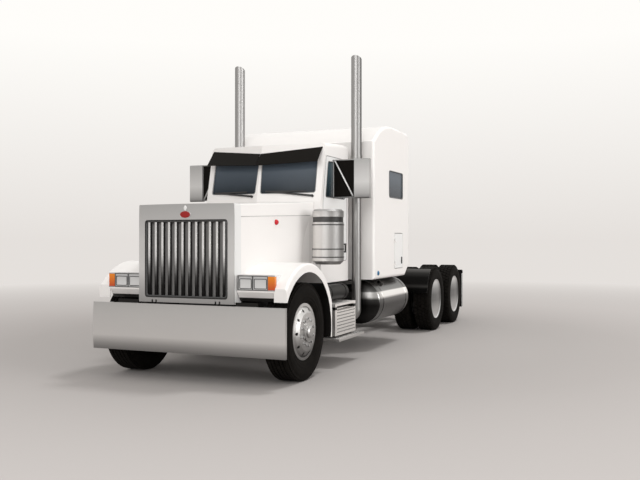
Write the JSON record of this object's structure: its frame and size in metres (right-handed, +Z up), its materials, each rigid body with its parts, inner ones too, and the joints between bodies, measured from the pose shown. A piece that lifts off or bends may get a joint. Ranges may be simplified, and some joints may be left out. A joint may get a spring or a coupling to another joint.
{
  "type": "semi truck tractor unit",
  "caption": "Long-nosed highway tractor with a sleeper box, tilting bonnet, steered front axle, two driven axles with twin wheels, tall exhausts and a fifth wheel.",
  "frame": {"origin": "on the ground, under the middle of the bounding box", "axes": "+X forward, +Y to the driver's left, +Z up"},
  "size_m": [7.9918, 2.6, 3.98],
  "materials": {
    "white_paint": "gloss",
    "chassis_paint": "satin",
    "axle_paint": "satin",
    "engine_paint": "satin",
    "bright_steel": "polished",
    "satin_shell": "satin",
    "polished_aluminium": "polished",
    "spring_steel": "satin",
    "black_gloss": "gloss",
    "black_plastic": "matte",
    "tyre_rubber": "matte",
    "black_rubber": "matte",
    "tinted_glass": "gloss",
    "clear_lens": "gloss",
    "amber_lens": "gloss",
    "red_lens": "gloss",
    "dash_plastic": "matte",
    "seat_fabric": "woven",
    "mattress_fabric": "woven"
  },
  "bodies": {
    "chassis": {"air_cleaners": "bright_steel", "air_springs": "black_rubber", "air_tanks": "black_gloss", "bunk_mattress": "mattress_fabric", "cab_shell": "white_paint", "coupling_base": "chassis_paint", "dashboard": "dash_plastic", "drive_axles": "axle_paint", "engine_block": "engine_paint", "exhaust_stacks": "bright_steel", "fixed_glass": "tinted_glass", "frame_rails": "chassis_paint", "front_axle": "axle_paint", "front_bumper": "bright_steel", "front_springs": "spring_steel", "fuel_tanks": "polished_aluminium", "mudflaps": "black_rubber", "quarter_guards": "black_gloss", "radiator": "black_plastic", "seat_bases": "dash_plastic", "seats": "seat_fabric", "sleeper_boot": "black_rubber", "sleeper_shell": "white_paint", "steering_wheel": "black_plastic", "step_boxes": "polished_aluminium", "sun_visor": "black_gloss", "tail_lamps": "red_lens", "trailing_beams": "chassis_paint", "wipers": "black_plastic"},
    "hood": {"front_wings": "white_paint", "grille_bars": "bright_steel", "grille_shell": "satin_shell", "headlamps": "clear_lens", "hood_shell": "white_paint", "lamp_pods": "satin_shell", "turn_lamps": "amber_lens"},
    "coupling_plate": {"coupling_plate": "chassis_paint"},
    "tie_rod": {"tie_rod": "axle_paint"},
    "knuckle_left": {"knuckle_left": "axle_paint"},
    "front_wheel_left": {"front_tyre_left": "tyre_rubber", "front_wheel_left": "polished_aluminium"},
    "door_left": {"door_left": "white_paint", "door_glass_left": "tinted_glass", "mirror_left": "polished_aluminium"},
    "locker_door_left": {"locker_door_left": "white_paint"},
    "drive_wheels_forward_left": {"drive_tyres_forward_left": "tyre_rubber", "drive_wheels_forward_left": "polished_aluminium"},
    "drive_wheels_rear_left": {"drive_tyres_rear_left": "tyre_rubber", "drive_wheels_rear_left": "polished_aluminium"},
    "knuckle_right": {"knuckle_right": "axle_paint"},
    "front_wheel_right": {"front_tyre_right": "tyre_rubber", "front_wheel_right": "polished_aluminium"},
    "door_right": {"door_right": "white_paint", "door_glass_right": "tinted_glass", "mirror_right": "polished_aluminium"},
    "locker_door_right": {"locker_door_right": "white_paint"},
    "drive_wheels_forward_right": {"drive_tyres_forward_right": "tyre_rubber", "drive_wheels_forward_right": "polished_aluminium"},
    "drive_wheels_rear_right": {"drive_tyres_rear_right": "tyre_rubber", "drive_wheels_rear_right": "polished_aluminium"}
  },
  "joints": [
    {"name": "steer_left", "type": "hinge", "parent": "chassis", "child": "knuckle_left", "pos_m": [3.354, 0.85, 0.527], "axis": [0, 0, 1], "range_deg": [-38, 38]},
    {"name": "front_wheel_spin_left", "type": "hinge", "parent": "knuckle_left", "child": "front_wheel_left", "pos_m": [3.354, 0.99, 0.527], "axis": [0, 1, 0], "continuous": true},
    {"name": "door_swing_left", "type": "hinge", "parent": "chassis", "child": "door_left", "pos_m": [2.123, 0.817, 1.4], "axis": [0, 0, -1], "range_deg": [0, 70]},
    {"name": "locker_swing_left", "type": "hinge", "parent": "chassis", "child": "locker_door_left", "pos_m": [0.118, 1.112, 1.35], "axis": [0, 0, -1], "range_deg": [0, 90]},
    {"name": "drive_spin_forward_left", "type": "hinge", "parent": "chassis", "child": "drive_wheels_forward_left", "pos_m": [-1.891, 0.9075, 0.527], "axis": [0, 1, 0], "continuous": true},
    {"name": "drive_spin_rear_left", "type": "hinge", "parent": "chassis", "child": "drive_wheels_rear_left", "pos_m": [-3.221, 0.9075, 0.527], "axis": [0, 1, 0], "continuous": true},
    {"name": "steer_right", "type": "hinge", "parent": "chassis", "child": "knuckle_right", "pos_m": [3.354, -0.85, 0.527], "axis": [0, 0, 1], "range_deg": [-38, 38]},
    {"name": "front_wheel_spin_right", "type": "hinge", "parent": "knuckle_right", "child": "front_wheel_right", "pos_m": [3.354, -0.99, 0.527], "axis": [0, 1, 0], "continuous": true},
    {"name": "door_swing_right", "type": "hinge", "parent": "chassis", "child": "door_right", "pos_m": [2.123, -0.817, 1.4], "axis": [0, 0, 1], "range_deg": [0, 70]},
    {"name": "locker_swing_right", "type": "hinge", "parent": "chassis", "child": "locker_door_right", "pos_m": [0.118, -1.112, 1.35], "axis": [0, 0, 1], "range_deg": [0, 90]},
    {"name": "drive_spin_forward_right", "type": "hinge", "parent": "chassis", "child": "drive_wheels_forward_right", "pos_m": [-1.891, -0.9075, 0.527], "axis": [0, 1, 0], "continuous": true},
    {"name": "drive_spin_rear_right", "type": "hinge", "parent": "chassis", "child": "drive_wheels_rear_right", "pos_m": [-3.221, -0.9075, 0.527], "axis": [0, 1, 0], "continuous": true},
    {"name": "tie_rod_pivot", "type": "hinge", "parent": "knuckle_left", "child": "tie_rod", "pos_m": [3.154, 0.85, 0.48], "axis": [0, 0, 1], "range_deg": [-38, 38]},
    {"name": "hood_tilt", "type": "hinge", "parent": "chassis", "child": "hood", "pos_m": [3.946, 0, 0.86], "axis": [0, 1, 0], "range_deg": [0, 80]},
    {"name": "coupling_tilt", "type": "hinge", "parent": "chassis", "child": "coupling_plate", "pos_m": [-2.206, 0, 1.085], "axis": [0, 1, 0], "range_deg": [-12, 12]}
  ],
  "couplings": [
    {"joint": "steer_right", "follows": "steer_left", "ratio": 1},
    {"joint": "tie_rod_pivot", "follows": "steer_left", "ratio": -1}
  ]
}
